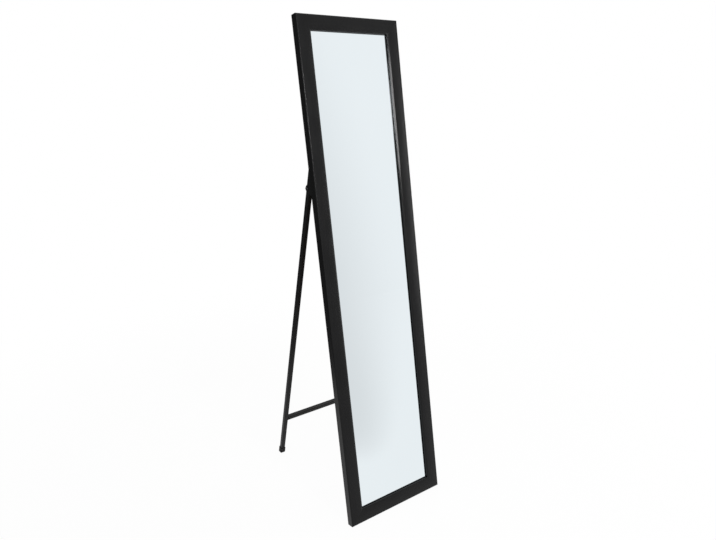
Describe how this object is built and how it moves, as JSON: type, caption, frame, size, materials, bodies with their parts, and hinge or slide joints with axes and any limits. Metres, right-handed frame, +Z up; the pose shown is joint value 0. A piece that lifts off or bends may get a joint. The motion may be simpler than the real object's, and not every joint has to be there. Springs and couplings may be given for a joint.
{
  "type": "floor mirror",
  "caption": "Tall narrow mirror in a flat black mitred frame, leaning back on a hinged stand of square tube legs joined by a low crossbar, which folds flat against its back.",
  "frame": {"origin": "on the floor, midway across the frame and midway between its front edge and the rear of the feet", "axes": "+Z up, +X to the right as seen from the front, -Y the way the mirror faces"},
  "size_m": [0.37, 0.4954, 1.5452],
  "materials": {
    "frame_black": "satin black moulding",
    "silvered_glass": "clear float glass, silvered on the back",
    "hardboard": "bare hardboard",
    "powder_coat": "satin black powder coat",
    "black_zinc": "black plated steel",
    "zinc_steel": "bright zinc",
    "black_rubber": "matt black",
    "black_plastic": "matt black",
    "nylon": "natural nylon"
  },
  "bodies": {
    "mirror": {"frame_top_rail": "frame_black", "frame_bottom_rail": "frame_black", "frame_left_stile": "frame_black", "frame_right_stile": "frame_black", "corner_v_nails": "zinc_steel", "mirror_glass": "silvered_glass", "backing_board": "hardboard", "glazing_points": "zinc_steel", "hinge_bracket_left": "powder_coat", "hinge_bracket_right": "powder_coat", "bracket_screws": "black_zinc", "hinge_bolt_left": "black_zinc", "hinge_bolt_right": "black_zinc", "hinge_nut_left": "black_zinc", "hinge_nut_right": "black_zinc", "hinge_washers": "nylon"},
    "stand": {"leg_left": "powder_coat", "leg_right": "powder_coat", "crossbar": "powder_coat", "crossbar_welds": "powder_coat", "foot_cap_left": "black_rubber", "foot_cap_right": "black_rubber", "leg_top_plug_left": "black_plastic", "leg_top_plug_right": "black_plastic", "pivot_sleeve_left": "zinc_steel", "pivot_sleeve_right": "zinc_steel"}
  },
  "joints": [
    {"name": "stand_fold", "type": "hinge", "parent": "mirror", "child": "stand", "pos_m": [0, 0.01009, 1.05161], "axis": [-1, 0, 0], "range_deg": [0, 24.2]}
  ]
}
